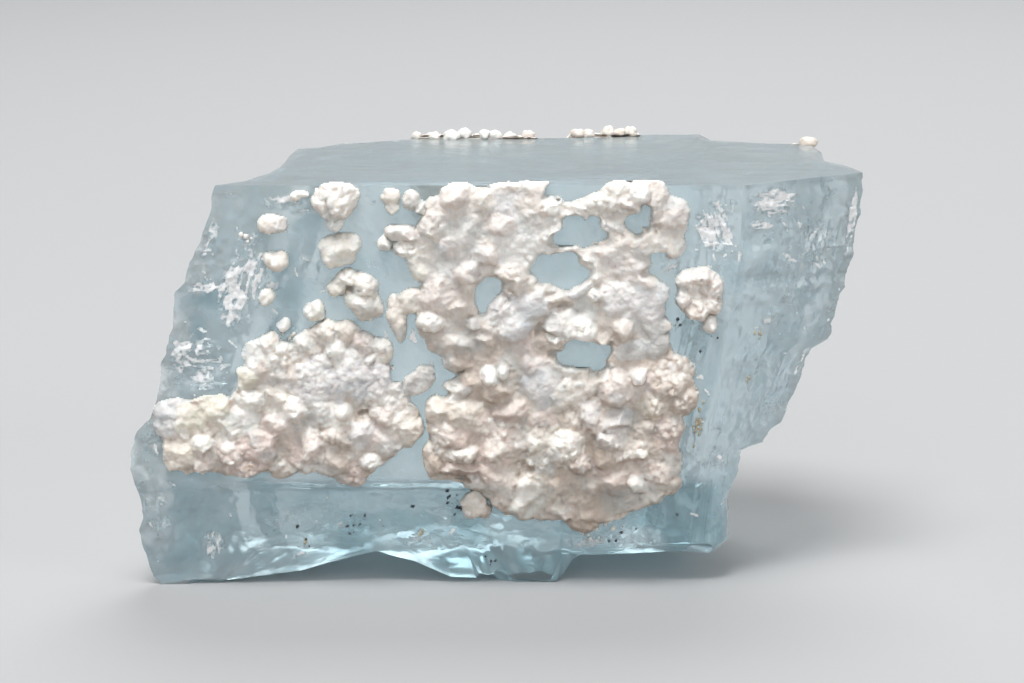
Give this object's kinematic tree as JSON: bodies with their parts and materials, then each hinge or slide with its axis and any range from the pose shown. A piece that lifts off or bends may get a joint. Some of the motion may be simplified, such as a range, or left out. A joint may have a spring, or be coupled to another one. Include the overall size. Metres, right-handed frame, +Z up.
{
  "type": "topaz with albite mineral specimen",
  "caption": "Pale blue clear topaz crystal with a flat cleavage top and broken sides, crusted with cream and white albite grains; a free-standing display specimen.",
  "frame": {"origin": "on the floor, under the middle of the specimen's bounding box", "axes": "+Z up; the face that carries the albite looks along -Y; +X to the right along that face"},
  "size_m": [0.0629, 0.0357, 0.0354],
  "materials": {
    "topaz": "clear, pale blue, polished by cleavage on top and broken on the sides",
    "albite_beige": "dull to sugary mineral",
    "albite_cream": "dull to sugary mineral",
    "albite_yellow": "waxy mineral",
    "albite_white": "sugary mineral",
    "albite_peach": "dull mineral",
    "albite_grey": "half-clear mineral",
    "dark_specks": "tiny dark mineral specks",
    "brown_stain": "thin iron stain",
    "inner_veil": "bright healed fractures inside the topaz"
  },
  "bodies": {
    "root": {"topaz_crystal": "topaz", "albite_main_cluster": "albite_beige", "albite_left_cluster": "albite_cream", "albite_back_crust_left": "albite_white", "albite_back_crust_middle": "albite_peach", "albite_back_crust_right": "albite_peach", "albite_back_corner_grain": "albite_peach", "albite_top_left_nodule": "albite_cream", "albite_yellow_block": "albite_yellow", "albite_ring_cluster": "albite_yellow", "albite_flat_grain": "albite_grey", "albite_grey_nodule": "albite_cream", "albite_peach_grain": "albite_peach", "albite_small_yellow_grain": "albite_yellow", "albite_tipped_grain": "albite_yellow", "albite_edge_grain_left": "albite_cream", "albite_edge_grain_right": "albite_cream", "albite_white_rhomb": "albite_white", "albite_glassy_rhomb": "albite_grey", "albite_coil_grain": "albite_beige", "albite_lower_plate": "albite_beige"}
  },
  "joints": []
}
